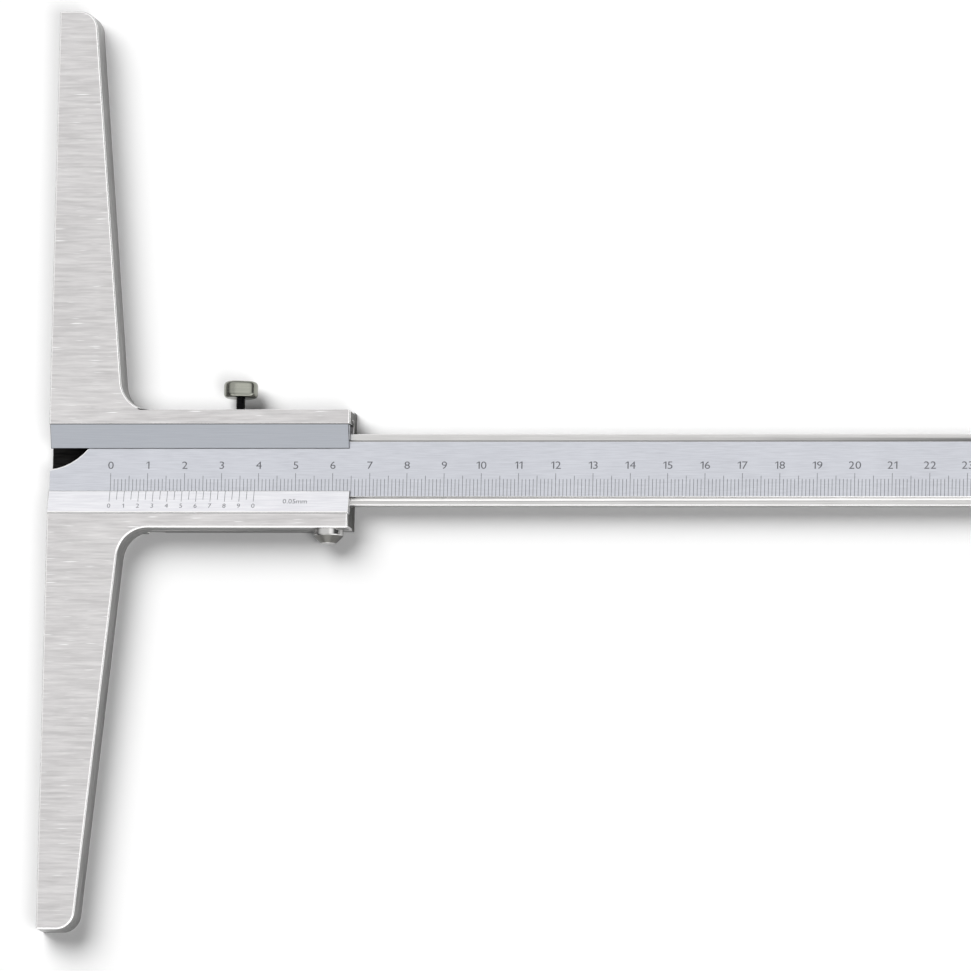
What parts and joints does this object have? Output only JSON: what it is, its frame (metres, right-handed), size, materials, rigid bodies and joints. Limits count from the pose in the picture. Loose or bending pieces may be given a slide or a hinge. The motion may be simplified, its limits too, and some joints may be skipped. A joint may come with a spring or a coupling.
{
  "type": "vernier depth gauge",
  "caption": "T-shaped vernier depth gauge: a tapered steel bridge with a slider, in which a graduated beam with a notched tip runs and is clamped by a thumb screw.",
  "frame": {"origin": "middle of the measuring face, on the plane of the gauge's back", "axes": "+X along the beam away from the measuring face, +Y along the bridge towards the clamp screw's side, +Z out of the graduated front"},
  "size_m": [0.4, 0.246, 0.01],
  "materials": {
    "brushed_steel": "ground along the beam",
    "scale_steel": "matt chromed, ground edges",
    "matt_chrome": "matt",
    "satin_chrome": "satin",
    "satin_head": "satin",
    "polished_steel": "polished",
    "screw_steel": "turned",
    "black_steel": "blackened"
  },
  "bodies": {
    "bridge": {"bridge_body": "brushed_steel", "back_plate": "brushed_steel", "back_screw_upper_left": "screw_steel", "back_screw_upper_right": "screw_steel", "back_screw_lower_left": "screw_steel", "back_screw_lower_right": "screw_steel", "vernier_plate": "satin_chrome", "vernier_screw_left": "screw_steel", "vernier_screw_middle": "screw_steel", "vernier_screw_right": "screw_steel", "gib_spring": "black_steel", "gib_set_screw_left": "black_steel", "gib_set_screw_right": "black_steel", "finger_stud": "polished_steel"},
    "gib": {"gib": "matt_chrome"},
    "clamp_screw": {"clamp_screw_head": "satin_head", "clamp_screw_stud": "black_steel"},
    "beam": {"beam": "scale_steel", "beam_stop_screw": "screw_steel"}
  },
  "joints": [
    {"name": "beam_slide", "type": "slide", "parent": "bridge", "child": "beam", "axis": [-1, 0, 0], "range_m": [0, 0.3]},
    {"name": "gib_slide", "type": "slide", "parent": "bridge", "child": "gib", "axis": [0, -1, 0], "range_m": [0, 0.000225]},
    {"name": "clamp_turn", "type": "hinge", "parent": "gib", "child": "clamp_screw", "pos_m": [0.051, 0.016, 0.00555], "axis": [0, -1, 0], "range_deg": [0, 180]}
  ],
  "couplings": [
    {"joint": "clamp_turn", "follows": "gib_slide", "rad_per_m": 13963}
  ]
}
